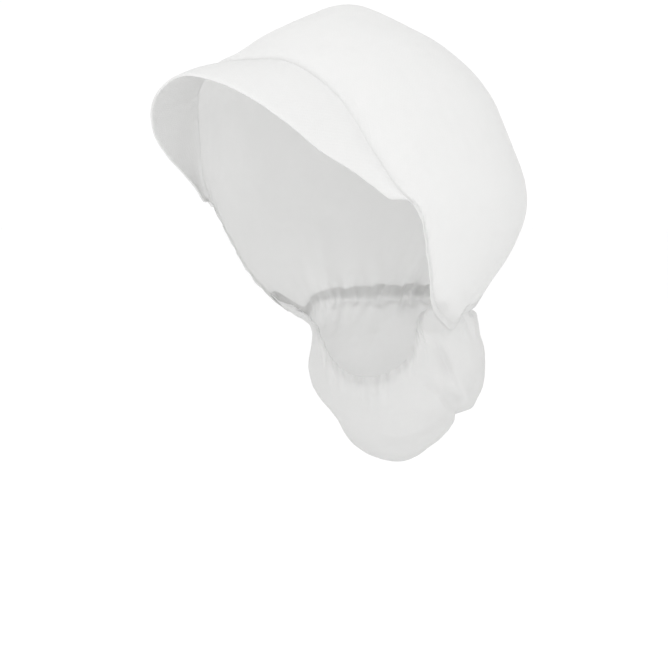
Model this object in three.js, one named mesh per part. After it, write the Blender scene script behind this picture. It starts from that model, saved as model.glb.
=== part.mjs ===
// Disposable visor cap: a full crown of thin cloth, a curved peak along its front, and a snood
// that holds the hair behind the neck. Millimetres, +Z up. The wearer faces -Y, and +X is the wearer's left.
// The origin is inside the top of the crown, where the top of the head bears.

import * as THREE from "three";

// Cloth
const CLOTH_WALL = 1.2;
const PEAK_WALL = 1.8;
const SEAM_GAP = 0.4;
const CLOTH_COLOUR = 0xf2f2f0;
const PEAK_COLOUR = 0xeeeeec;
const CLOTH_ROUGHNESS = 0.92;

// Facets
const CROWN_COLUMNS = 48; // from the middle of the front to the middle of the back
const CROWN_ROWS = 17;
const PEAK_ROWS = 4;
const SNOOD_COLUMNS = 26; // likewise, round one side
const SNOOD_ROWS = 22;
const CROWDING = 1.25; // above 1, rows lie closer at a sheet's edge
const EVEN_FROM = 0.8; // this far from an edge to the pole, columns have become evenly spaced

// Level sections of the crown. depth is how far each lies below the top, front, widest and back
// are places along Y, and half is half of the width. The face opening takes away the front of the lower ones.
const CROWN_SECTIONS = [
  { depth: 0, front: 0, widest: 0, back: 0, half: 0 },
  { depth: 4, front: -20, widest: 0, back: 20, half: 17 },
  { depth: 11, front: -37, widest: 1, back: 38, half: 31 },
  { depth: 21, front: -61.5, widest: 3, back: 55, half: 47.5 },
  { depth: 32, front: -80.5, widest: 6, back: 73, half: 60 },
  { depth: 43, front: -101, widest: 10, back: 89, half: 68.5 },
  { depth: 58, front: -114, widest: 15, back: 106, half: 76 },
  { depth: 83, front: -116, widest: 20, back: 122.5, half: 83 },
  { depth: 105, front: -112, widest: 22, back: 133.5, half: 88.5 },
  { depth: 124, front: -104, widest: 22, back: 133.5, half: 89 },
  { depth: 145, front: -96, widest: 22, back: 123, half: 83 },
  { depth: 165, front: -92, widest: 22, back: 106, half: 74.5 },
  { depth: 185, front: -90, widest: 24, back: 86, half: 63 },
  { depth: 215, front: -88, widest: 26, back: 68, half: 52 },
];

// The crown's edge on one side, from the middle of the front seam, past the ear and the tip below it,
// to the middle of the nape. turn is the angle round from the front.
const CROWN_EDGE = [
  { turn: 0, depth: 43 },
  { turn: 22, depth: 43.5 },
  { turn: 34, depth: 50.5 },
  { turn: 42, depth: 60.5 },
  { turn: 47.5, depth: 75 },
  { turn: 51, depth: 92 },
  { turn: 55, depth: 109 },
  { turn: 61.5, depth: 126 },
  { turn: 66, depth: 147 },
  { turn: 71, depth: 165.5 },
  { turn: 74.5, depth: 175.5 },
  { turn: 79, depth: 184 },
  { turn: 85, depth: 191 },
  { turn: 91, depth: 195.5 },
  { turn: 97, depth: 191 },
  { turn: 104, depth: 185.5 },
  { turn: 124, depth: 183 },
  { turn: 160, depth: 182 },
  { turn: 180, depth: 181 },
];
const CROWN_DEGREE = 1.5; // about how far a degree round the crown is
const PEAK_END_DEPTH = 122; // the peak ends where the edge has come down this far

// The peak's free edge on one side, from the middle to the ear.
const PEAK_EDGE = [
  { x: 0, y: -140.5, z: -52 },
  { x: 22, y: -136, z: -57 },
  { x: 38.5, y: -128, z: -66 },
  { x: 52, y: -114, z: -79.5 },
  { x: 58, y: -98, z: -91.5 },
  { x: 63.5, y: -81, z: -100.5 },
  { x: 68, y: -66, z: -109.5 },
  { x: 71.5, y: -57, z: -116 },
  { x: 74, y: -50.5, z: -119.5 },
  { x: 76, y: -44, z: -121.5 },
];
const PEAK_CAMBER = 1.5; // how far the middle of the peak's width bulges up

// Gathers round the back of the crown, which deepen from a level down to the nape edge.
const GATHER = { pitch: 20, out: 2, fromDepth: 112, fullDepth: 185, fromTurn: 96, fullTurn: 125 };

// Level sections of the snood. rise is how far each lies above its lowest point.
const SNOOD_BOTTOM = -285;
const SNOOD_SECTIONS = [
  { rise: 0, front: 43, widest: 43, back: 43, half: 0 },
  { rise: 3, front: 31, widest: 43, back: 51, half: 15.5 },
  { rise: 14, front: 20, widest: 43, back: 62.5, half: 30.5 },
  { rise: 25, front: 15, widest: 43, back: 73.5, half: 39.5 },
  { rise: 38, front: 13, widest: 43, back: 87, half: 54 },
  { rise: 55, front: 12, widest: 43, back: 92, half: 60 },
  { rise: 73, front: 12, widest: 40, back: 94, half: 61 },
  { rise: 88, front: 8, widest: 34, back: 94, half: 58.5 },
  { rise: 102, front: -4, widest: 26, back: 89, half: 61.5 },
  { rise: 122, front: -14, widest: 24, back: 94, half: 66 },
];

// The snood's mouth on one side, from the hem at the neck up to the edge that is held inside the crown.
const SNOOD_EDGE = [
  { turn: 0, rise: 58 },
  { turn: 10, rise: 59 },
  { turn: 30, rise: 70 },
  { turn: 44, rise: 92 },
  { turn: 50, rise: 108 },
  { turn: 58, rise: 110 },
  { turn: 72, rise: 104 },
  { turn: 90, rise: 99 },
  { turn: 104, rise: 107 },
  { turn: 130, rise: 111 },
  { turn: 180, rise: 113 },
];
const SNOOD_DEGREE = 1; // about how far a degree round the snood is

// Folds of the snood. Each lies at an angle round and a rise, leans from upright by an angle towards
// the back, and is a ridge where out is above zero and a crease where it is below.
const SNOOD_FOLDS = [
  { turn: 136, rise: 61, lean: 0, long: 32, wide: 30, out: 5 },
  { turn: 97, rise: 35, lean: 111, long: 45, wide: 5.5, out: -6.5 },
  { turn: 88, rise: 40, lean: 132, long: 30, wide: 9, out: 5 },
  { turn: 100, rise: 72, lean: 20, long: 10, wide: 10, out: 2 },
  { turn: 42, rise: 14, lean: 90, long: 20, wide: 6, out: -2 },
  { turn: 184, rise: 60, lean: 8, long: 28, wide: 9, out: -4 },
  { turn: 232, rise: 62, lean: 10, long: 24, wide: 24, out: 5 },
  { turn: 262, rise: 44, lean: -65, long: 36, wide: 8, out: -4 },
  { turn: 286, rise: 56, lean: -60, long: 30, wide: 9, out: 3 },
];
const FOLD_FADE = 5; // folds fade out over this root of the rise, towards the lowest point

// The snood's top is held along the crown's inside, inset from the crown's outside. It leaves the crown
// from one distance below the crown's edge to another.
const SEAT = { inset: 2.8, from: 5, to: 12 };

// A smooth curve through one column of a table, whose rows are spaced by the root of their level.
function smooth(rows, level, column, at) {
  const place = (i) => Math.sqrt(rows[i][level]);
  let i = 0;
  while (i < rows.length - 2 && place(i + 1) < at) {
    i += 1;
  }
  const slope = (k) => {
    const before = Math.max(k - 1, 0);
    const after = Math.min(k + 1, rows.length - 1);
    return (rows[after][column] - rows[before][column]) / (place(after) - place(before));
  };
  const step = place(i + 1) - place(i);
  const t = (at - place(i)) / step;
  const t2 = t * t;
  const t3 = t2 * t;
  return (
    (2 * t3 - 3 * t2 + 1) * rows[i][column] +
    (t3 - 2 * t2 + t) * step * slope(i) +
    (3 * t2 - 2 * t3) * rows[i + 1][column] +
    (t3 - t2) * step * slope(i + 1)
  );
}

// A level section: its widest place, its half width, and how far it goes ahead of and behind that place.
function section(rows, level, root) {
  const front = smooth(rows, level, "front", root);
  const widest = smooth(rows, level, "widest", root);
  const back = smooth(rows, level, "back", root);
  const half = smooth(rows, level, "half", root);
  return { widest, half, reach: (ahead) => (ahead > 0 ? widest - front : back - widest) };
}

// A point of a level section at an angle round from the front, pushed outwards by the folds there.
function sectionPoint(rows, level, root, turn, height, out) {
  const angle = THREE.MathUtils.degToRad(turn);
  const ahead = Math.cos(angle);
  const aside = Math.sin(angle);
  const { widest, half, reach } = section(rows, level, root);
  return new THREE.Vector3((half + out) * aside, widest - (reach(ahead) + out) * ahead, height);
}

// How far the gathers push the crown's cloth out.
function gatherOut(depth, turn) {
  const fromFront = turn <= 180 ? turn : 360 - turn;
  const down = THREE.MathUtils.smoothstep(depth, GATHER.fromDepth, GATHER.fullDepth);
  const round = THREE.MathUtils.smoothstep(fromFront, GATHER.fromTurn, GATHER.fullTurn);
  const wave = 0.5 - 0.5 * Math.cos(THREE.MathUtils.degToRad((360 * (turn - 180)) / GATHER.pitch));
  return GATHER.out * down * round * wave;
}

// How far the folds push the snood's cloth out.
function foldOut(rise, turn) {
  let out = 0;
  for (const fold of SNOOD_FOLDS) {
    const lean = THREE.MathUtils.degToRad(fold.lean);
    const across = (turn - fold.turn) * SNOOD_DEGREE;
    const up = rise - fold.rise;
    const along = across * Math.sin(lean) + up * Math.cos(lean);
    const aside = across * Math.cos(lean) - up * Math.sin(lean);
    out += fold.out * Math.exp(-((along / fold.long) ** 2) - (aside / fold.wide) ** 2);
  }
  return out * THREE.MathUtils.smoothstep(Math.sqrt(rise), 0, FOLD_FADE);
}

function crownPoint(root, turn) {
  const depth = root * root;
  return sectionPoint(CROWN_SECTIONS, "depth", root, turn, CLOTH_WALL - depth, gatherOut(depth, turn));
}

// How deep the crown's edge lies at an angle round from the front.
function crownEdgeDepth(turn) {
  let i = 0;
  while (i < CROWN_EDGE.length - 2 && CROWN_EDGE[i + 1].turn < turn) {
    i += 1;
  }
  const { turn: fromTurn, depth: fromDepth } = CROWN_EDGE[i];
  const { turn: toTurn, depth: toDepth } = CROWN_EDGE[i + 1];
  return THREE.MathUtils.mapLinear(turn, fromTurn, toTurn, fromDepth, toDepth);
}

// A point of the snood, brought to lie along the crown's inside where it is above the crown's edge.
function heldInCrown(point) {
  const depth = CLOTH_WALL - point.z;
  if (depth > CROWN_SECTIONS.at(-1).depth) {
    return point;
  }
  const { widest, half, reach } = section(CROWN_SECTIONS, "depth", Math.sqrt(depth));
  const aside = point.x / half;
  const ahead = (widest - point.y) / reach(widest - point.y);
  const turn = THREE.MathUtils.radToDeg(Math.atan2(Math.abs(aside), ahead));
  const held = 1 - THREE.MathUtils.smoothstep(depth - crownEdgeDepth(turn), SEAT.from, SEAT.to);
  const seated = (1 - SEAT.inset / half) / Math.hypot(aside, ahead);
  const scale = THREE.MathUtils.lerp(1, seated, held);
  return new THREE.Vector3(point.x * scale, widest + (point.y - widest) * scale, point.z);
}

function snoodPoint(root, turn) {
  const rise = root * root;
  const height = SNOOD_BOTTOM + rise;
  return heldInCrown(sectionPoint(SNOOD_SECTIONS, "rise", root, turn, height, foldOut(rise, turn)));
}

// One side's edge as a curve of even steps. It gives the angle round, and the root of the level.
function edgeCurve(rows, level, degree) {
  const points = rows.map((row) => new THREE.Vector3(row.turn * degree, row[level], 0));
  const curve = new THREE.CatmullRomCurve3(points, false, "centripetal");
  return (share) => {
    const point = curve.getPointAt(share);
    return { turn: point.x / degree, root: Math.sqrt(point.y) };
  };
}

// A sheet of cloth from an edge to a pole, as one layer of points and triangles. Row 0 is the edge.
function domeSheet(pointAt, edgeAt, sideColumns, rows, outwardIsLeft) {
  const columns = 2 * sideColumns;
  const points = [];
  for (let row = 0; row < rows; row += 1) {
    const up = (row / rows) ** CROWDING;
    const even = THREE.MathUtils.smoothstep(up, 0, EVEN_FROM);
    for (let column = 0; column < columns; column += 1) {
      const share = 1 - Math.abs(1 - column / sideColumns);
      const edge = edgeAt(share);
      const oneSide = THREE.MathUtils.lerp(edge.turn, 180 * share, even);
      const turn = column <= sideColumns ? oneSide : 360 - oneSide;
      points.push(pointAt(edge.root * (1 - up), turn));
    }
  }
  points.push(pointAt(0, 0));
  const pole = points.length - 1;
  const triangles = [];
  for (let row = 0; row < rows; row += 1) {
    for (let column = 0; column < columns; column += 1) {
      const next = (column + 1) % columns;
      const a = row * columns + column;
      const b = row * columns + next;
      if (row === rows - 1) {
        triangles.push([a, b, pole]);
      } else {
        triangles.push([a, b, b + columns], [a, b + columns, a + columns]);
      }
    }
  }
  const turned = triangles.map(([a, b, c]) => [a, c, b]);
  return { points, triangles: outwardIsLeft ? triangles : turned, columns };
}

function sheetGeometry(points, triangles) {
  const geometry = new THREE.BufferGeometry();
  geometry.setFromPoints(points);
  geometry.setIndex(triangles.flat());
  geometry.computeVertexNormals();
  return geometry;
}

// The outward directions at a sheet's points.
function sheetNormals(sheet) {
  const normal = sheetGeometry(sheet.points, sheet.triangles).getAttribute("normal");
  return sheet.points.map((_, i) => new THREE.Vector3().fromBufferAttribute(normal, i));
}

// A closed wall: the sheet, the same sheet moved inwards, and a strip along every open edge.
function wallGeometry(sheet, normals, wall) {
  const inner = sheet.points.map((point, i) => point.clone().addScaledVector(normals[i], -wall));
  const shift = sheet.points.length;
  const triangles = [];
  const edges = new Set();
  for (const [a, b, c] of sheet.triangles) {
    triangles.push([a, b, c], [a + shift, c + shift, b + shift]);
    for (const [from, to] of [[a, b], [b, c], [c, a]]) {
      edges.add(`${from} ${to}`);
    }
  }
  for (const edge of edges) {
    const [from, to] = edge.split(" ").map(Number);
    if (!edges.has(`${to} ${from}`)) {
      triangles.push([to, from, from + shift], [to, from + shift, to + shift]);
    }
  }
  return sheetGeometry([...sheet.points, ...inner], triangles);
}

function clothMesh(name, geometry, colour) {
  const material = new THREE.MeshStandardMaterial({ color: colour, roughness: CLOTH_ROUGHNESS });
  const mesh = new THREE.Mesh(geometry, material);
  mesh.name = name;
  return mesh;
}

// Crown
const crownEdge = edgeCurve(CROWN_EDGE, "depth", CROWN_DEGREE);
const crown = domeSheet(crownPoint, crownEdge, CROWN_COLUMNS, CROWN_ROWS, true);
const crownNormals = sheetNormals(crown);

// The direction square to the crown's edge, along its surface and away from it.
function seamOutward(index) {
  const before = crown.points[(index + crown.columns - 1) % crown.columns];
  const after = crown.points[(index + 1) % crown.columns];
  const along = after.clone().sub(before);
  return along.cross(crownNormals[index]).normalize();
}

// Peak: it follows the crown's own edge points, from one ear round the front to the other.
let peakSide = 0;
while (crownEdge((peakSide + 1) / CROWN_COLUMNS).root ** 2 <= PEAK_END_DEPTH) {
  peakSide += 1;
}
const leftEdge = PEAK_EDGE.map((row) => new THREE.Vector3(row.x, row.y, row.z));
const rightEdge = PEAK_EDGE.slice(1).map((row) => new THREE.Vector3(-row.x, row.y, row.z));
const freeEdge = new THREE.CatmullRomCurve3([...rightEdge.reverse(), ...leftEdge], false, "centripetal");

const peak = { points: [], triangles: [] };
const peakSeamNormals = [];
const peakColumns = 2 * peakSide + 1;
for (let row = 0; row <= PEAK_ROWS; row += 1) {
  const out = row / PEAK_ROWS;
  for (let column = -peakSide; column <= peakSide; column += 1) {
    const index = (column + crown.columns) % crown.columns;
    const seam = crown.points[index];
    const free = freeEdge.getPointAt(0.5 + column / (2 * peakSide));
    const start = seam.clone().addScaledVector(seamOutward(index), SEAM_GAP);
    const point = start.clone().lerp(free, out);
    point.addScaledVector(crownNormals[index], PEAK_CAMBER * 4 * out * (1 - out));
    peak.points.push(point);
    if (row === 0) {
      peakSeamNormals.push(crownNormals[index]);
    }
  }
}
for (let row = 0; row < PEAK_ROWS; row += 1) {
  for (let column = 0; column < peakColumns - 1; column += 1) {
    const a = row * peakColumns + column;
    const b = a + 1;
    const c = a + peakColumns;
    const d = c + 1;
    peak.triangles.push([a, c, d], [a, d, b]);
  }
}
const peakNormals = sheetNormals(peak);
peakNormals.splice(0, peakColumns, ...peakSeamNormals);

// Snood
const snoodEdge = edgeCurve(SNOOD_EDGE, "rise", SNOOD_DEGREE);
const snood = domeSheet(snoodPoint, snoodEdge, SNOOD_COLUMNS, SNOOD_ROWS, false);

const cap = new THREE.Group();
cap.add(clothMesh("crown", wallGeometry(crown, crownNormals, CLOTH_WALL), CLOTH_COLOUR));
cap.add(clothMesh("peak", wallGeometry(peak, peakNormals, PEAK_WALL), PEAK_COLOUR));
cap.add(clothMesh("snood", wallGeometry(snood, sheetNormals(snood), CLOTH_WALL), CLOTH_COLOUR));
export default cap;
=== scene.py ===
"""The looks of a disposable visor cap of white non-woven cloth, on a plain pale floor in soft light.

The crown, the peak and the snood are thin cloth with folded hems, gathers, puckers and stitches.
Tables and sizes are in millimetres and degrees, unless a comment says otherwise, in the frame's axes:
the wearer faces -Y, +X is the wearer's left, and +Z is up.
"""

import math

import bpy
import numpy as np
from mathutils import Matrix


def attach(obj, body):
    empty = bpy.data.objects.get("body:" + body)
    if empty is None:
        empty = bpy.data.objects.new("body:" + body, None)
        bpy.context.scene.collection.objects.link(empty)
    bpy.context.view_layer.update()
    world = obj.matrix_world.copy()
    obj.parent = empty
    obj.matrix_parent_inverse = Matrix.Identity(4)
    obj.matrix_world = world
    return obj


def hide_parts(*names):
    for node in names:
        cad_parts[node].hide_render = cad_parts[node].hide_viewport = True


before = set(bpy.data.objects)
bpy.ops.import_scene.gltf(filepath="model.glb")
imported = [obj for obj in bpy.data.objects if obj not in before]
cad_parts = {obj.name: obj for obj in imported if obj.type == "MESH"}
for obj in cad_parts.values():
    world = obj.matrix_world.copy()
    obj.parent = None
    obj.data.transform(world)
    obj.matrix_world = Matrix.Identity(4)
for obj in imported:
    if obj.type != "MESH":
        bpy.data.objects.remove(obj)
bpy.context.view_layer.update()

MM = 0.001  # metres in a millimetre
TINY = 1e-9


def table(names, rows):
    """A table as one array for each named column."""
    return dict(zip(names.split(), np.array(rows, float).T))


# The crown's form, as the solid has it

CROWN_TOP = 1.2  # the outside of the crown's top

# Level sections at depths below the top: their front, widest place and back along Y, and half of their width.
CROWN_SECTIONS = table("depth front widest back half", [
    (0, 0, 0, 0, 0),
    (4, -20, 0, 20, 17),
    (11, -37, 1, 38, 31),
    (21, -61.5, 3, 55, 47.5),
    (32, -80.5, 6, 73, 60),
    (43, -101, 10, 89, 68.5),
    (58, -114, 15, 106, 76),
    (83, -116, 20, 122.5, 83),
    (105, -112, 22, 133.5, 88.5),
    (124, -104, 22, 133.5, 89),
    (145, -96, 22, 123, 83),
    (165, -92, 22, 106, 74.5),
    (185, -90, 24, 86, 63),
    (215, -88, 26, 68, 52),
])

# The edge on one side, from the middle of the front to the middle of the nape, by the angle round.
CROWN_EDGE = table("turn depth", [
    (0, 43),
    (22, 43.5),
    (34, 50.5),
    (42, 60.5),
    (47.5, 75),
    (51, 92),
    (55, 109),
    (61.5, 126),
    (66, 147),
    (71, 165.5),
    (74.5, 175.5),
    (79, 184),
    (85, 191),
    (91, 195.5),
    (97, 191),
    (104, 185.5),
    (124, 183),
    (160, 182),
    (180, 181),
])
CROWN_DEGREE = 1.5  # about how far a degree round the crown is

# The peak's form, as the solid has it

PEAK_END_DEPTH = 122  # the peak ends where the crown's edge has come down this far

# The free edge on one side, from the middle to the ear.
PEAK_EDGE = table("x y z", [
    (0, -140.5, -52),
    (22, -136, -57),
    (38.5, -128, -66),
    (52, -114, -79.5),
    (58, -98, -91.5),
    (63.5, -81, -100.5),
    (68, -66, -109.5),
    (71.5, -57, -116),
    (74, -50.5, -119.5),
    (76, -44, -121.5),
])
PEAK_CAMBER = 1.5  # how far the middle of the peak's width bulges up

# The snood's form, as the solid has it

SNOOD_BOTTOM = -285

# Level sections that rise from the lowest point.
SNOOD_SECTIONS = table("rise front widest back half", [
    (0, 43, 43, 43, 0),
    (3, 31, 43, 51, 15.5),
    (14, 20, 43, 62.5, 30.5),
    (25, 15, 43, 73.5, 39.5),
    (38, 13, 43, 87, 54),
    (55, 12, 43, 92, 60),
    (73, 12, 40, 94, 61),
    (88, 8, 34, 94, 58.5),
    (102, -4, 26, 89, 61.5),
    (122, -14, 24, 94, 66),
])

# The edge on one side, from the hem at the neck to the top that is sewn inside the crown.
SNOOD_EDGE = table("turn rise", [
    (0, 58),
    (10, 59),
    (30, 70),
    (44, 92),
    (50, 108),
    (58, 110),
    (72, 104),
    (90, 99),
    (104, 107),
    (130, 111),
    (180, 113),
])
SNOOD_DEGREE = 1  # about how far a degree round the snood is
SEAT_INSET = 1.7  # how far inside the crown's outside the snood's top lies
SEAT_FADE = 7  # how far below the crown's edge the snood has left the crown
SEAT_LEAST = 0.2  # points nearer to the crown's middle than this share aren't brought all the way out

# Gathers round the back of the crown, and how uneven they are

GATHER = {"pitch": 20, "out": 2, "from_depth": 112, "full_depth": 185, "from_turn": 96, "full_turn": 125}
GATHER_DRIFT = {"share": 0.3, "wavelength": 60, "seed": 5}
GATHER_HEIGHT = {"middle": 0.85, "share": 0.3, "wavelength": 45, "seed": 6}
GATHER_WAVES = 6

# Folds, creases and dents

# Each lies at an angle round and a level, leans from upright, and is a ridge where out is above zero.
SNOOD_FOLDS = table("turn rise lean long wide out", [
    (136, 61, 0, 32, 30, 5),
    (97, 35, 111, 45, 5.5, -6.5),
    (88, 40, 132, 30, 9, 5),
    (100, 72, 20, 10, 10, 2),
    (42, 14, 90, 20, 6, -2),
    (184, 60, 8, 28, 9, -4),
    (232, 62, 10, 24, 24, 5),
    (262, 44, -65, 36, 8, -4),
    (286, 56, -60, 30, 9, 3),
])
FOLD_FADE = 5  # the snood's folds fade out over this root of the rise, towards its lowest point
SNOOD_CREASES = table("turn rise lean long wide out", [
    (60, 70, -26, 14, 5, -3.6),
    (72, 52, -40, 14, 6, -1.2),
    (52, 61, -36, 18, 6.5, 2.6),
    (97, 35, 111, 45, 2.6, -1.6),
    (125, 30, 100, 14, 3, -3),
    (117, 37, 100, 14, 3, 1),
    (97, 82, 15, 12, 7, 1.6),
    (104, 64, 10, 12, 6, -1.2),
    (46, 24, 80, 22, 6, 1.8),
])
CROWN_DENTS = table("turn depth lean long wide out", [
    (59.2, 111.8, 60, 7, 3, -0.9),
    (97, 126, 85, 16, 5, -0.9),
    (97, 141, 80, 14, 5, -0.8),
    (93, 161, 70, 12, 4, -0.8),
    (95, 177, 60, 12, 4, -0.8),
    (262, 130, 85, 16, 5, -0.9),
    (266, 160, 70, 14, 4, -0.8),
])

# Tucks: narrow valleys that run in from an edge, one to each pitch

SEAM_TUCKS = table("pitch long wide deep seed", [
    (10, 9, 1.6, 0.25, 21),
])
EAR_TUCKS = table("pitch long wide deep seed", [
    (16, 14, 3, 0.5, 23),
])
NAPE_TUCKS = table("pitch long wide deep seed", [
    (9, 22, 1.9, 1.5, 25),
    (26, 60, 5, 1.8, 27),
])
BACK_TUCKS = table("pitch long wide deep seed", [
    (19, 80, 5, 1.7, 29),
])
SNOOD_TUCKS = table("pitch long wide deep seed", [
    (12, 34, 2.6, 2.2, 47),
])
MOUTH_TUCKS = table("pitch long wide deep seed", [
    (9, 15, 1.8, 1.1, 45),
])
TUCK_SHIFT = (-0.35, 0.35)  # a tuck's place varies by these shares of the pitch
TUCK_REACH = (0.5, 1.5)  # its length varies between these shares
TUCK_LEAN = (-0.25, 0.25)  # its lean varies between these slopes
TUCK_WIDTH = (0.8, 1.3)  # its width varies between these shares
TUCK_DEPTH = (0.5, 1.2)  # its depth varies between these shares
TUCK_RIDGE = {"height": 0.5, "aside": 1.7}  # low ridges beside it, as shares of its depth and width

# Where along the edges things begin and end, by the angle round from the front

SIDE_TURN = 90
NAPE_TURNS = (92, 120)  # the nape's gathers begin between these
BACK_TURNS = (118, 150)  # and the long tucks at the back between these
MOUTH_TURNS = (70, 50)  # the snood's hem begins between these, and goes on round the front
PEAK_END_FADE = 8  # the front seam's puckers fade out over this depth, above and below the peak's end
NAPE_SLOPE = 1.35  # how far along the crown's lower back a millimetre of depth is

# Unevenness of the cloth, whose swells are ripples that fade out towards an edge

CROWN_SWELLS = table("out wavelength seed", [
    (0.8, 80, 11),
])
SWELL_FADE = 20
CROWN_RIPPLES = table("out wavelength seed", [
    (0.18, 24, 12),
    (0.05, 9, 13),
])
PEAK_RIPPLES = table("out wavelength seed", [
    (0.12, 45, 31),
    (0.05, 15, 32),
])
SNOOD_SWELLS = table("out wavelength seed", [
    (0.6, 42, 41),
    (0.3, 18, 42),
])
SNOOD_RIPPLES = table("out wavelength seed", [
    (0.08, 7, 43),
])
RIPPLE_WAVES = 16
RIPPLE_SPREAD = (0.75, 1.4)  # wavelengths vary between these shares

# Sheets

CROWN_GRID = (210, 190)  # columns round one side, and rows
SNOOD_GRID = (180, 180)
CROWDING = 1.25  # above 1, rows lie closer at a sheet's edge
EVEN_FROM = 0.8  # this far from an edge to the pole, columns have become evenly spaced
HEM_WIDTH = 5.5
HEM_GAP = 0.6
RAW_WIDTH = 0.5  # the same for an edge that is sewn to another piece, not folded
RAW_GAP = 0.04
HEM_STEPS = 6
FOLD_ANGLES = (30, 60, 90, 120, 150)  # of the rows round a fold's half circle
PEAK_ROWS = 34
PEAK_CROWDING = 1.7
PEAK_TUCK = 1.5  # how far the peak goes on under the crown
PEAK_TUCK_ROWS = 3
PEAK_DROP = 0.06  # how far below the crown's outside the peak lies there
PEAK_STEP = 3  # how far from the seam the peak's top comes level with the crown
SEAM_FADE = 12  # how far from the seam the crown's puckers go on in the peak
PEAK_TAPER = 16  # over this length the peak narrows to nothing at its ends
PEAK_THICK = 1.4
PEAK_THIN = 14  # over this length the peak thins at its ends
PEAK_END_THICK = 0.25  # to this share of its thickness

# Stitches

STITCH_IN = 4  # from the edge
STITCH_LONG = 2.8
STITCH_PITCH = 3.8
STITCH_GROOVE = {"deep": 0.22, "wide": 1.3}
THREAD = 0.2  # half of the thread's thickness
THREAD_SIDES = 6
THREAD_RINGS = (-1, -0.8, -0.4, 0, 0.4, 0.8, 1)  # along a stitch, as shares of half of its length
THREAD_END = 0.02  # the least section, at a stitch's ends
THREAD_RISE = 0.9  # how far a stitch's middle rises above its ends, in half thicknesses of the thread
THREAD_SINK = 0.6  # and how far the ends lie in the cloth
THREAD_AHEAD = 1  # how far ahead on the path a stitch's direction is read

# Materials, whose tables name the shader sockets they set

CLOTHS = {
    "non_woven_cloth": {"colour": (0.785, 0.785, 0.78), "see_through": 0.3},
    # the thin cloth lets more light through, and its colour is darker than the crown's as painted shade, for
    # the snood hanging below the crown
    "thin_non_woven_cloth_painted_shade": {"colour": (0.757, 0.757, 0.752), "see_through": 0.4},
    "stiff_non_woven_cloth": {"colour": (0.77, 0.77, 0.765), "see_through": 0.15},
}
CLOTH_SURFACE = {"Roughness": 0.88, "Specular IOR Level": 0.2}
BOND_PITCH = 1.5
BOND_SLANT = 45
BOND_PATTERN = {"Scale": 1 / (BOND_PITCH * MM), "Randomness": 0.3}
BOND_DOTS = {"From Min": 0.2, "From Max": 0.42}
BOND_TONES = {"To Min": 0.985, "To Max": 1.0}
BOND_BUMP = {"Strength": 0.5, "Distance": 0.05 * MM}
FIBRE_SIZE = 0.5
FIBRE_PATTERN = {"Scale": 1 / (FIBRE_SIZE * MM), "Detail": 3, "Distortion": 1.5}
FIBRE_BUMP = {"Strength": 0.35, "Distance": 0.12 * MM}
CLOUD_SIZE = 7
CLOUD_PATTERN = {"Scale": 1 / (CLOUD_SIZE * MM), "Detail": 4}
CLOUD_TONES = {"From Min": 0.3, "From Max": 0.7, "To Min": 0.994, "To Max": 1.004}
CLOUD_BUMP = {"Strength": 0.3, "Distance": 0.2 * MM}
FLOOR_SURFACE = {"Base Color": (0.98, 0.98, 0.98, 1), "Roughness": 0.9, "Specular IOR Level": 0.1}
BACKGROUND = {"Color": (1, 1, 1, 1), "Strength": 1.03}

# Floor, lights and camera, with azimuth 0 straight ahead of the wearer and 90 at the wearer's left

FLOOR_LEVEL = -363
FLOOR_FAR = 30  # metres from the middle
LIGHT_MIDDLE = (0, 0, -110)  # what the lights point at
LIGHT_DISTANCE = 1.1  # metres
LIGHT_SIZE = 0.7  # metres
LIGHTS = [
    {"name": "key", "azimuth": 39, "elevation": 8, "power": 2.6},
    {"name": "side", "azimuth": 80, "elevation": 50, "power": 0.5},
    {"name": "fill", "azimuth": -30, "elevation": 40, "power": 1.1},
]
CAMERA_PLACE = (460.7, -584.9, -128)
CAMERA_AZIMUTH = 39
CAMERA_DOWN = 5.43
CAMERA_NEAR = 0.01  # metres
FOCAL_PIXELS = 1200
IMAGE_PIXELS = 668
SENSOR = 36


# Curves

def smoothstep(value, low, high):
    t = np.clip((value - low) / (high - low), 0, 1)
    return t * t * (3 - 2 * t)


def smooth(place, value, at):
    """A smooth curve through a table's column, read at many places."""
    slope = np.gradient(value, place)
    slope[1:-1] = (value[2:] - value[:-2]) / (place[2:] - place[:-2])
    i = np.clip(np.searchsorted(place, at) - 1, 0, len(place) - 2)
    step = place[i + 1] - place[i]
    t = (at - place[i]) / step
    return (
        (2 * t**3 - 3 * t**2 + 1) * value[i]
        + (t**3 - 2 * t**2 + t) * step * slope[i]
        + (3 * t**2 - 2 * t**3) * value[i + 1]
        + (t**3 - t**2) * step * slope[i + 1]
    )


def curve_through(points, fine=40):
    """A smooth curve through points, as many points close together."""
    points = np.asarray(points, float)
    knots = np.vstack([2 * points[0] - points[1], points, 2 * points[-1] - points[-2]])
    t = np.linspace(0, 1, fine, endpoint=False)[:, None]
    pieces = []
    for p0, p1, p2, p3 in zip(knots, knots[1:], knots[2:], knots[3:]):
        d0, d1, d2 = (math.sqrt(np.linalg.norm(b - a)) for a, b in ((p0, p1), (p1, p2), (p2, p3)))
        m1 = ((p1 - p0) / d0 - (p2 - p0) / (d0 + d1) + (p2 - p1) / d1) * d1
        m2 = ((p2 - p1) / d1 - (p3 - p1) / (d1 + d2) + (p3 - p2) / d2) * d1
        pieces.append(
            (2 * t**3 - 3 * t**2 + 1) * p1
            + (t**3 - 2 * t**2 + t) * m1
            + (3 * t**2 - 2 * t**3) * p2
            + (t**3 - t**2) * m2
        )
    return np.vstack([*pieces, points[-1:]])


def lengths(points):
    """How far along a row of points each one is."""
    steps = np.linalg.norm(np.diff(points, axis=0), axis=-1)
    return np.concatenate([np.zeros((1, *steps.shape[1:])), np.cumsum(steps, axis=0)])


def edge_lengths(edge):
    """How far along a closed edge each of its points is, and the way all round it."""
    far = lengths(np.concatenate([edge, edge[:1]]))
    return far[:-1], far[-1]


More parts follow.
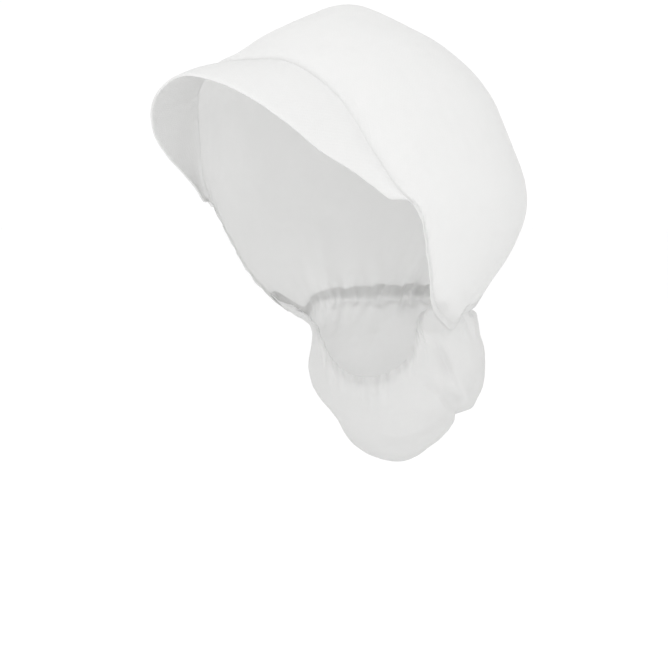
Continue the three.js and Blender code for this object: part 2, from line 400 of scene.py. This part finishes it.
def read_along(values, far, at):
    """Values along a path, read at lengths along it."""
    return np.stack([np.interp(at, far, column) for column in values.T], axis=-1)


def at_share(curve, share):
    far = lengths(curve)
    return read_along(curve, far, share * far[-1])


def unit(vectors):
    return vectors / np.maximum(np.linalg.norm(vectors, axis=-1, keepdims=True), TINY)


def from_front(turn):
    return np.minimum(turn, 360 - turn)


# Level sections

def section(sections, level, root):
    """A level section's front, widest place, back and half width, read at the root of the level."""
    place = np.sqrt(sections[level])
    return [smooth(place, sections[name], root) for name in ("front", "widest", "back", "half")]


def section_point(sections, level, root, turn, height, out):
    """Points of level sections at angles round, pushed outwards."""
    front, widest, back, half = section(sections, level, root)
    ahead = np.cos(np.radians(turn))
    aside = np.sin(np.radians(turn))
    reach = np.where(ahead > 0, widest - front, back - widest)
    return np.stack([(half + out) * aside, widest - (reach + out) * ahead, height], axis=-1)


# Folds

def ripple(points, wavelength, seed, waves=RIPPLE_WAVES):
    """A smooth random field of about -1 to 1, whose hills are about a wavelength apart."""
    random = np.random.default_rng(seed)
    heading = random.normal(size=(waves, points.shape[-1]))
    heading /= np.linalg.norm(heading, axis=1, keepdims=True)
    number = 2 * math.pi / (wavelength * random.uniform(*RIPPLE_SPREAD, waves))
    start = random.uniform(0, 2 * math.pi, waves)
    total = sum(np.sin(points @ h * n + s) for h, n, s in zip(heading, number, start))
    return total / math.sqrt(waves)


def ripples_out(points, ripples):
    """How far a table of ripples pushes the cloth out."""
    rows = zip(*ripples.values())
    return sum(out * ripple(points, wavelength, int(seed)) for out, wavelength, seed in rows)


def tucks_out(along, away, length, tucks):
    """How far tucks push the cloth out, at places along an edge and away from it."""
    out = np.zeros(np.broadcast(along, away).shape)
    for pitch, long, wide, deep, seed in zip(*tucks.values()):
        random = np.random.default_rng(int(seed))
        for place in np.arange(0, length, pitch):
            middle = place + random.uniform(*TUCK_SHIFT) * pitch
            reach = long * random.uniform(*TUCK_REACH)
            lean = random.uniform(*TUCK_LEAN)
            width = wide * random.uniform(*TUCK_WIDTH) * (1 + away / reach)
            aside = (along - middle - lean * away) / width
            ridge = np.exp(-((np.abs(aside) - TUCK_RIDGE["aside"]) ** 2))
            valley = np.exp(-(aside**2)) - TUCK_RIDGE["height"] * ridge
            out -= deep * random.uniform(*TUCK_DEPTH) * valley * np.exp(-((away / reach) ** 2))
    return out


def folds_out(folds, level, turn, degree):
    """How far a table of folds pushes the cloth out."""
    out = np.zeros(np.broadcast(level, turn).shape)
    for place, fold_level, lean, long, wide, height in zip(*folds.values()):
        across = (turn - place) * degree
        above = level - fold_level
        lean = math.radians(lean)
        along = across * math.sin(lean) + above * math.cos(lean)
        aside = across * math.cos(lean) - above * math.sin(lean)
        out += height * np.exp(-((along / long) ** 2) - (aside / wide) ** 2)
    return out


def gathers_out(depth, turn):
    """How far the gathers push the crown's cloth out, unevenly."""
    down = smoothstep(depth, GATHER["from_depth"], GATHER["full_depth"])
    round_back = smoothstep(from_front(turn), GATHER["from_turn"], GATHER["full_turn"])
    line = turn[..., None]
    drift = ripple(line, GATHER_DRIFT["wavelength"], GATHER_DRIFT["seed"], GATHER_WAVES)
    uneven = turn + GATHER_DRIFT["share"] * GATHER["pitch"] * drift
    more = ripple(line, GATHER_HEIGHT["wavelength"], GATHER_HEIGHT["seed"], GATHER_WAVES)
    height = GATHER_HEIGHT["middle"] + GATHER_HEIGHT["share"] * more
    wave = -0.5 * np.cos(np.radians(360 * (uneven - 180) / GATHER["pitch"]))
    return GATHER["out"] * down * round_back * height * wave


# Sheets from an edge to a pole

def crown_point(root, turn):
    depth = root**2
    out = gathers_out(depth, turn)
    return section_point(CROWN_SECTIONS, "depth", root, turn, CROWN_TOP - depth, out)


def snood_point(root, turn):
    rise = root**2
    out = folds_out(SNOOD_FOLDS, rise, turn, SNOOD_DEGREE) * smoothstep(root, 0, FOLD_FADE)
    return section_point(SNOOD_SECTIONS, "rise", root, turn, SNOOD_BOTTOM + rise, out)


def dome(point_at, edge, level, degree, grid):
    """A sheet from an edge, which is row 0, to a pole: its points, angles round and levels."""
    side_columns, rows = grid
    side = np.arange(2 * side_columns) / side_columns
    share = 1 - np.abs(1 - side)
    flat = at_share(curve_through(np.stack([edge["turn"] * degree, edge[level]], axis=-1)), share)
    edge_turns = flat[:, 0] / degree
    up = np.linspace(0, 1, rows + 1)[:, None] ** CROWDING
    one_side = edge_turns + (180 * share - edge_turns) * smoothstep(up, 0, EVEN_FROM)
    turn = np.where(side <= 1, one_side, 360 - one_side)
    root = np.sqrt(flat[:, 1]) * (1 - up)
    return point_at(root, turn), turn, root**2


def dome_normals(points, sign):
    """Outward directions of a dome's points."""
    along = np.roll(points, -1, axis=1) - np.roll(points, 1, axis=1)
    normal = sign * unit(np.cross(along, np.gradient(points, axis=0)))
    normal[-1] = unit(normal[-2].mean(axis=0))
    return normal


def pushed_out(points, normals, out):
    """A dome's points pushed out along its normals, with one place for the pole."""
    pushed = points + normals * out[..., None]
    pushed[-1] = pushed[-1].mean(axis=0)
    return pushed


def part_way(values, away, distance):
    """A sheet's values at a distance from its edge, in each column."""
    columns = np.arange(away.shape[1])
    row = np.clip((away <= distance).sum(axis=0) - 1, 0, len(away) - 2)
    share = (distance - away[row, columns]) / (away[row + 1, columns] - away[row, columns])
    return values[row, columns] + (values[row + 1, columns] - values[row, columns]) * share[:, None]


def fold_row(edge, normals, outward, gap, angle):
    """A row of points round the fold at an edge, at an angle of its half circle."""
    turn = math.radians(angle)
    return edge - normals * gap / 2 * (1 - math.cos(turn)) + outward * gap / 2 * math.sin(turn)


def hem_rows(points, normals, away, folded):
    """The cloth that is folded in at a sheet's edge, from its free end to the fold.

    It is as wide as a hem where folded is 1, and a raw edge where it is 0.
    """
    width = RAW_WIDTH + (HEM_WIDTH - RAW_WIDTH) * folded
    gap = (RAW_GAP + (HEM_GAP - RAW_GAP) * folded)[:, None]
    rows = []
    for share in np.linspace(1, 0, HEM_STEPS):
        in_from_edge = share * width
        inside = gap * part_way(normals, away, in_from_edge)
        rows.append(part_way(points, away, in_from_edge) - inside)
    outward = unit(points[0] - points[1])
    for angle in reversed(FOLD_ANGLES):
        rows.append(fold_row(points[0], normals[0], outward, gap, angle))
    return np.stack(rows)


# Mesh pieces

def grid_faces(rows, columns, wrap):
    """Four-sided faces of a grid of points."""
    face_columns = columns if wrap else columns - 1
    row, column = np.meshgrid(np.arange(rows - 1), np.arange(face_columns), indexing="ij")
    after = (column + 1) % columns
    here = row * columns
    there = (row + 1) * columns
    corners = [here + column, here + after, there + after, there + column]
    return np.stack([corner.ravel() for corner in corners], axis=-1)


def cloth_object(name, points, faces, flat_places, material):
    """A mesh piece from points in millimetres.

    Its flat places on the cloth, in metres, become its texture map.
    """
    mesh = bpy.data.meshes.new(name)
    mesh.from_pydata(points * MM, [], [tuple(face) for face in faces])
    layer = mesh.uv_layers.new(name="cloth")
    corner = np.empty(len(mesh.loops), int)
    mesh.loops.foreach_get("vertex_index", corner)
    layer.data.foreach_set("uv", (flat_places * MM)[corner].ravel())
    mesh.polygons.foreach_set("use_smooth", np.ones(len(mesh.polygons), bool))
    mesh.materials.append(material)
    mesh.update()
    piece = bpy.data.objects.new(name, mesh)
    bpy.context.scene.collection.objects.link(piece)
    return piece


def dome_object(name, points, normals, turn, folded, material):
    """A dome of one layer of cloth, with a folded hem where folded is 1."""
    rows = np.concatenate([hem_rows(points, normals, lengths(points), folded), points[:-1]])
    hem_turn = np.repeat(turn[:1], len(rows) - len(turn) + 1, axis=0)
    angle = np.radians(np.concatenate([hem_turn, turn[:-1]]))
    from_pole = lengths(rows[::-1])[::-1] + np.linalg.norm(points[-1] - points[-2], axis=-1)
    flat = np.stack([from_pole * np.sin(angle), from_pole * np.cos(angle)], axis=-1)
    count, columns = rows.shape[:2]
    faces = [tuple(face) for face in grid_faces(count, columns, True)]
    pole = count * columns
    last = pole - columns
    faces += [(last + column, last + (column + 1) % columns, pole) for column in range(columns)]
    return cloth_object(
        name,
        np.vstack([rows.reshape(-1, 3), points[-1, :1]]),
        faces,
        np.vstack([flat.reshape(-1, 2), np.zeros((1, 2))]),
        material,
    )


# Materials

def set_inputs(made, values):
    for socket, value in values.items():
        made.inputs[socket].default_value = value


def node(tree, kind, values=None, **settings):
    """A shader node with its settings, and with values on its sockets."""
    made = tree.nodes.new(kind)
    for name, value in settings.items():
        setattr(made, name, value)
    set_inputs(made, values or {})
    return made


def cloth_material(name, colour, see_through):
    """Spunbonded cloth: bond points in rows, loose fibres, uneven thickness, and some light through it."""
    material = bpy.data.materials.new(name)
    material.use_nodes = True
    tree = material.node_tree
    tree.nodes.clear()
    link = tree.links.new

    # Bond points, in slanting rows on the flat cloth
    flat = node(tree, "ShaderNodeUVMap", uv_map="cloth")
    slanted = node(tree, "ShaderNodeMapping", {"Rotation": (0, 0, math.radians(BOND_SLANT))})
    link(flat.outputs["UV"], slanted.inputs["Vector"])
    bonds = node(tree, "ShaderNodeTexVoronoi", BOND_PATTERN, voronoi_dimensions="2D")
    link(slanted.outputs["Vector"], bonds.inputs["Vector"])
    dots = node(tree, "ShaderNodeMapRange", BOND_DOTS, interpolation_type="SMOOTHSTEP")
    link(bonds.outputs["Distance"], dots.inputs["Value"])

    # Fibres, and clouds of thicker and thinner cloth
    place = node(tree, "ShaderNodeTexCoord")
    fibres = node(tree, "ShaderNodeTexNoise", FIBRE_PATTERN)
    link(place.outputs["Object"], fibres.inputs["Vector"])
    clouds = node(tree, "ShaderNodeTexNoise", CLOUD_PATTERN)
    link(place.outputs["Object"], clouds.inputs["Vector"])

    # Colour
    cloud_tone = node(tree, "ShaderNodeMapRange", CLOUD_TONES)
    link(clouds.outputs["Fac"], cloud_tone.inputs["Value"])
    bond_tone = node(tree, "ShaderNodeMapRange", BOND_TONES)
    link(dots.outputs["Result"], bond_tone.inputs["Value"])
    both = node(tree, "ShaderNodeMath", operation="MULTIPLY")
    link(cloud_tone.outputs["Result"], both.inputs[0])
    link(bond_tone.outputs["Result"], both.inputs[1])
    shade = node(tree, "ShaderNodeVectorMath", {0: colour}, operation="SCALE")
    link(both.outputs["Value"], shade.inputs["Scale"])

    # Relief
    fine = node(tree, "ShaderNodeBump", FIBRE_BUMP)
    link(fibres.outputs["Fac"], fine.inputs["Height"])
    pressed = node(tree, "ShaderNodeBump", BOND_BUMP)
    link(dots.outputs["Result"], pressed.inputs["Height"])
    link(fine.outputs["Normal"], pressed.inputs["Normal"])
    rumpled = node(tree, "ShaderNodeBump", CLOUD_BUMP)
    link(clouds.outputs["Fac"], rumpled.inputs["Height"])
    link(pressed.outputs["Normal"], rumpled.inputs["Normal"])

    surface = node(tree, "ShaderNodeBsdfPrincipled", CLOTH_SURFACE)
    link(shade.outputs["Vector"], surface.inputs["Base Color"])
    link(rumpled.outputs["Normal"], surface.inputs["Normal"])
    through = node(tree, "ShaderNodeBsdfTranslucent", {"Color": (*colour, 1)})
    mixed = node(tree, "ShaderNodeMixShader", {"Fac": see_through})
    link(surface.outputs["BSDF"], mixed.inputs[1])
    link(through.outputs["BSDF"], mixed.inputs[2])
    output = node(tree, "ShaderNodeOutputMaterial")
    link(mixed.outputs["Shader"], output.inputs["Surface"])
    return material


cloth, thin_cloth_painted_shade, peak_cloth = [cloth_material(name, **look) for name, look in CLOTHS.items()]

# Crown

base, crown_turn, crown_depth = dome(crown_point, CROWN_EDGE, "depth", CROWN_DEGREE, CROWN_GRID)
base_normals = dome_normals(base, 1)
base_away = lengths(base)
columns = base.shape[1]
edge_turn = crown_turn[0]
edge_depth = crown_depth[0]
edge_along, edge_length = edge_lengths(base[0])
above_end = smoothstep(edge_depth, PEAK_END_DEPTH + PEAK_END_FADE, PEAK_END_DEPTH - PEAK_END_FADE)
at_peak = above_end * (from_front(edge_turn) < SIDE_TURN)
at_nape = smoothstep(from_front(edge_turn), *NAPE_TURNS)
at_back = smoothstep(from_front(edge_turn), *BACK_TURNS)
at_ear = 1 - np.maximum(at_peak, at_nape)

crown_out = ripples_out(base, CROWN_SWELLS) * smoothstep(base_away, 0, SWELL_FADE)
crown_out += ripples_out(base, CROWN_RIPPLES)
crown_out += at_peak * tucks_out(edge_along, base_away, edge_length, SEAM_TUCKS)
crown_out += at_ear * tucks_out(edge_along, base_away, edge_length, EAR_TUCKS)
crown_out += at_nape * tucks_out(edge_along, base_away, edge_length, NAPE_TUCKS)
crown_out += at_back * tucks_out(edge_along, base_away, edge_length, BACK_TUCKS)
crown_out += folds_out(CROWN_DENTS, crown_depth, crown_turn, CROWN_DEGREE)
groove = np.exp(-(((base_away - STITCH_IN) / STITCH_GROOVE["wide"]) ** 2))
crown_out -= (1 - at_peak) * STITCH_GROOVE["deep"] * groove
crown_points = pushed_out(base, base_normals, crown_out)
crown_normals = dome_normals(crown_points, 1)
crown_away = lengths(crown_points)
crown = dome_object("crown_cloth", crown_points, crown_normals, crown_turn, at_ear, cloth)

# Peak, from under the crown's edge out to its free edge, round that, and back below

at_seam = (edge_depth <= PEAK_END_DEPTH) & (edge_turn < SIDE_TURN)
peak_side = int(np.sum(at_seam)) - 1
seam_columns = np.arange(-peak_side, peak_side + 1) % columns
seam = base[0, seam_columns]
seam_normal = base_normals[0, seam_columns]
seam_out = crown_out[0, seam_columns][:, None]
seam_along = lengths(seam)
from_end = np.minimum(seam_along, seam_along[-1] - seam_along)
left_edge = np.stack(list(PEAK_EDGE.values()), axis=-1)
right_edge = left_edge[:0:-1] * (-1, 1, 1)
free = at_share(curve_through(np.vstack([right_edge, left_edge])), np.linspace(0, 1, len(seam)))
free = seam + (free - seam) * smoothstep(from_end, 0, PEAK_TAPER)[:, None]

peak_rows = []
for back in np.linspace(PEAK_TUCK, 0, PEAK_TUCK_ROWS + 1)[:-1]:
    drop = PEAK_DROP * part_way(crown_normals, crown_away, back)
    under = part_way(crown_points, crown_away, back) - drop
    peak_rows.append(under[seam_columns])
for out in np.linspace(0, 1, PEAK_ROWS) ** PEAK_CROWDING:
    point = seam + (free - seam) * out
    from_seam = np.linalg.norm(point - seam, axis=-1)[:, None]
    lift = PEAK_CAMBER * 4 * out * (1 - out) + seam_out * (1 - smoothstep(from_seam, 0, SEAM_FADE))
    lift -= PEAK_DROP * (1 - smoothstep(from_seam, 0, PEAK_STEP))
    peak_rows.append(point + seam_normal * lift)
peak_top = np.stack(peak_rows)
peak_normals = -unit(np.cross(np.gradient(peak_top, axis=1), np.gradient(peak_top, axis=0)))
from_seam = np.linalg.norm(peak_top - seam, axis=-1)
peak_out = ripples_out(peak_top, PEAK_RIPPLES) * smoothstep(from_seam, PEAK_TUCK, SEAM_FADE)
peak_top = peak_top + peak_normals * peak_out[..., None]

outward = unit(peak_top[-1] - peak_top[-2])
thick_share = PEAK_END_THICK + (1 - PEAK_END_THICK) * smoothstep(from_end, 0, PEAK_THIN)
thick = PEAK_THICK * thick_share[:, None]
rim = [fold_row(peak_top[-1], peak_normals[-1], outward, thick, angle) for angle in FOLD_ANGLES]
peak_under = (peak_top - peak_normals * thick)[::-1]
peak_points = np.concatenate([peak_top, np.stack(rim), peak_under])
peak_across = lengths(peak_points)
peak_along = np.broadcast_to(seam_along, peak_across.shape)
peak = cloth_object(
    "peak_cloth",
    peak_points.reshape(-1, 3),
    grid_faces(*peak_points.shape[:2], False),
    np.stack([peak_along, peak_across], axis=-1).reshape(-1, 2),
    peak_cloth,
)


# Snood

def held_in_crown(points):
    """The snood's points, with those above the crown's edge brought to lie inside the crown.

    Gives the points, how far each is held, its angle round the crown, and how far it is below
    the crown's edge.
    """
    depth = np.minimum(CROWN_TOP - points[..., 2], CROWN_SECTIONS["depth"][-1])
    front, widest, back, half = section(CROWN_SECTIONS, "depth", np.sqrt(depth))
    forward = widest - points[..., 1]
    reach = np.where(forward > 0, widest - front, back - widest)
    share = np.hypot(points[..., 0] / half, forward / reach)
    turn = np.degrees(np.arctan2(points[..., 0] / half, forward / reach)) % 360
    edge_below_top = np.interp(from_front(turn), CROWN_EDGE["turn"], CROWN_EDGE["depth"])
    below = CROWN_TOP - points[..., 2] - edge_below_top
    held = 1 - smoothstep(below, 0, SEAT_FADE)
    wanted = 1 + (gathers_out(depth, turn) - SEAT_INSET) / half
    scale = 1 + (wanted / np.maximum(share, SEAT_LEAST) - 1) * held
    moved = np.stack([points[..., 0] * scale, widest - forward * scale, points[..., 2]], axis=-1)
    return moved, held, turn, below


snood_base, snood_turn, snood_rise = dome(snood_point, SNOOD_EDGE, "rise", SNOOD_DEGREE, SNOOD_GRID)
snood_base, held, turn_in_crown, below_edge = held_in_crown(snood_base)
snood_base_normals = dome_normals(snood_base, -1)
snood_away = lengths(snood_base)
mouth_along, mouth_length = edge_lengths(snood_base[0])
at_mouth = smoothstep(from_front(snood_turn[0]), *MOUTH_TURNS)
nape_along = np.interp(turn_in_crown, edge_turn, edge_along)
from_nape = NAPE_SLOPE * np.abs(below_edge)
nape_share = smoothstep(from_front(turn_in_crown), *NAPE_TURNS)

snood_out = ripples_out(snood_base, SNOOD_SWELLS) * (1 - held)
snood_out += ripples_out(snood_base, SNOOD_RIPPLES)
snood_out += folds_out(SNOOD_CREASES, snood_rise, snood_turn, SNOOD_DEGREE) * (1 - held)
snood_out += at_mouth * tucks_out(mouth_along, snood_away, mouth_length, MOUTH_TUCKS)
snood_out += nape_share * tucks_out(nape_along, from_nape, edge_length, NAPE_TUCKS)
snood_out += nape_share * (1 - held) * tucks_out(nape_along, from_nape, edge_length, SNOOD_TUCKS)
snood_points = pushed_out(snood_base, snood_base_normals, snood_out)
snood_normals = dome_normals(snood_points, -1)
# the snood's cloth carries painted shade: its colour is darker than the crown's same cloth
snood = dome_object("snood_cloth", snood_points, snood_normals, snood_turn, at_mouth, thin_cloth_painted_shade)


# Stitches

def stitches(path, normals):
    """Short raised lengths of thread along a path of points: the points and faces of all of them."""
    far = lengths(path)
    points = []
    faces = []
    for middle in np.arange(STITCH_PITCH / 2, far[-1] - STITCH_PITCH / 2, STITCH_PITCH):
        first = len(points)
        for ring in THREAD_RINGS:
            at = middle + ring * STITCH_LONG / 2
            centre = read_along(path, far, at)
            up = unit(read_along(normals, far, at))
            ahead = unit(read_along(path, far, at + THREAD_AHEAD) - centre)
            aside = np.cross(ahead, up)
            round_end = math.sqrt(max(1 - ring**4, THREAD_END))
            centre = centre + up * THREAD * (THREAD_RISE * round_end - THREAD_SINK)
            for side in range(THREAD_SIDES):
                angle = 2 * math.pi * side / THREAD_SIDES
                outwards = math.cos(angle) * aside + math.sin(angle) * up
                points.append(centre + THREAD * round_end * outwards)
        faces += [tuple(first + face) for face in grid_faces(len(THREAD_RINGS), THREAD_SIDES, True)]
    return np.array(points), faces


hem_columns = np.arange(peak_side, columns - peak_side + 1)
stitch_path = part_way(crown_points, crown_away, STITCH_IN)[hem_columns]
stitch_normals = part_way(crown_normals, crown_away, STITCH_IN)[hem_columns]
stitch_points, stitch_faces = stitches(stitch_path, stitch_normals)
stitching = cloth_object("crown_stitching", stitch_points, stitch_faces, stitch_points[:, :2], cloth)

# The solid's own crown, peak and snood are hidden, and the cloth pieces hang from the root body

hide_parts("crown")
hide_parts("peak")
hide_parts("snood")
for piece in (crown, snood, stitching):
    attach(piece, "root")
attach(peak, "root")


# Floor, light and camera

def floor_object():
    mesh = bpy.data.meshes.new("floor")
    level = FLOOR_LEVEL * MM
    corners = [(x * FLOOR_FAR, y * FLOOR_FAR, level) for x, y in ((-1, -1), (1, -1), (1, 1), (-1, 1))]
    mesh.from_pydata(corners, [], [(0, 1, 2, 3)])
    material = bpy.data.materials.new("pale_floor")
    material.use_nodes = True
    set_inputs(material.node_tree.nodes["Principled BSDF"], FLOOR_SURFACE)
    mesh.materials.append(material)
    floor = bpy.data.objects.new("floor", mesh)
    bpy.context.scene.collection.objects.link(floor)


def area_light(name, azimuth, elevation, power):
    """A round soft light that looks at the middle of the cap from an angle round and an angle up."""
    light = bpy.data.lights.new(name, "AREA")
    light.shape = "DISK"
    light.size = LIGHT_SIZE
    light.energy = power
    lamp = bpy.data.objects.new(name, light)
    turn = math.radians(azimuth)
    up = math.radians(elevation)
    away_from_cap = (math.sin(turn) * math.cos(up), -math.cos(turn) * math.cos(up), math.sin(up))
    lamp.location = [middle * MM + part * LIGHT_DISTANCE for middle, part in zip(LIGHT_MIDDLE, away_from_cap)]
    lamp.rotation_euler = (math.radians(90) - up, 0, turn)
    bpy.context.scene.collection.objects.link(lamp)


floor_object()
for light_row in LIGHTS:
    area_light(**light_row)

world = bpy.data.worlds.new("studio")
world.use_nodes = True
set_inputs(world.node_tree.nodes["Background"], BACKGROUND)
bpy.context.scene.world = world
bpy.context.scene.view_settings.view_transform = "Standard"

lens = bpy.data.cameras.new("photo_view")
lens.sensor_width = SENSOR
lens.lens = SENSOR * FOCAL_PIXELS / IMAGE_PIXELS
lens.clip_start = CAMERA_NEAR
camera = bpy.data.objects.new("photo_view", lens)
camera.location = [place * MM for place in CAMERA_PLACE]
camera.rotation_euler = (math.radians(90 - CAMERA_DOWN), 0, math.radians(CAMERA_AZIMUTH))
bpy.context.scene.collection.objects.link(camera)
bpy.context.scene.camera = camera
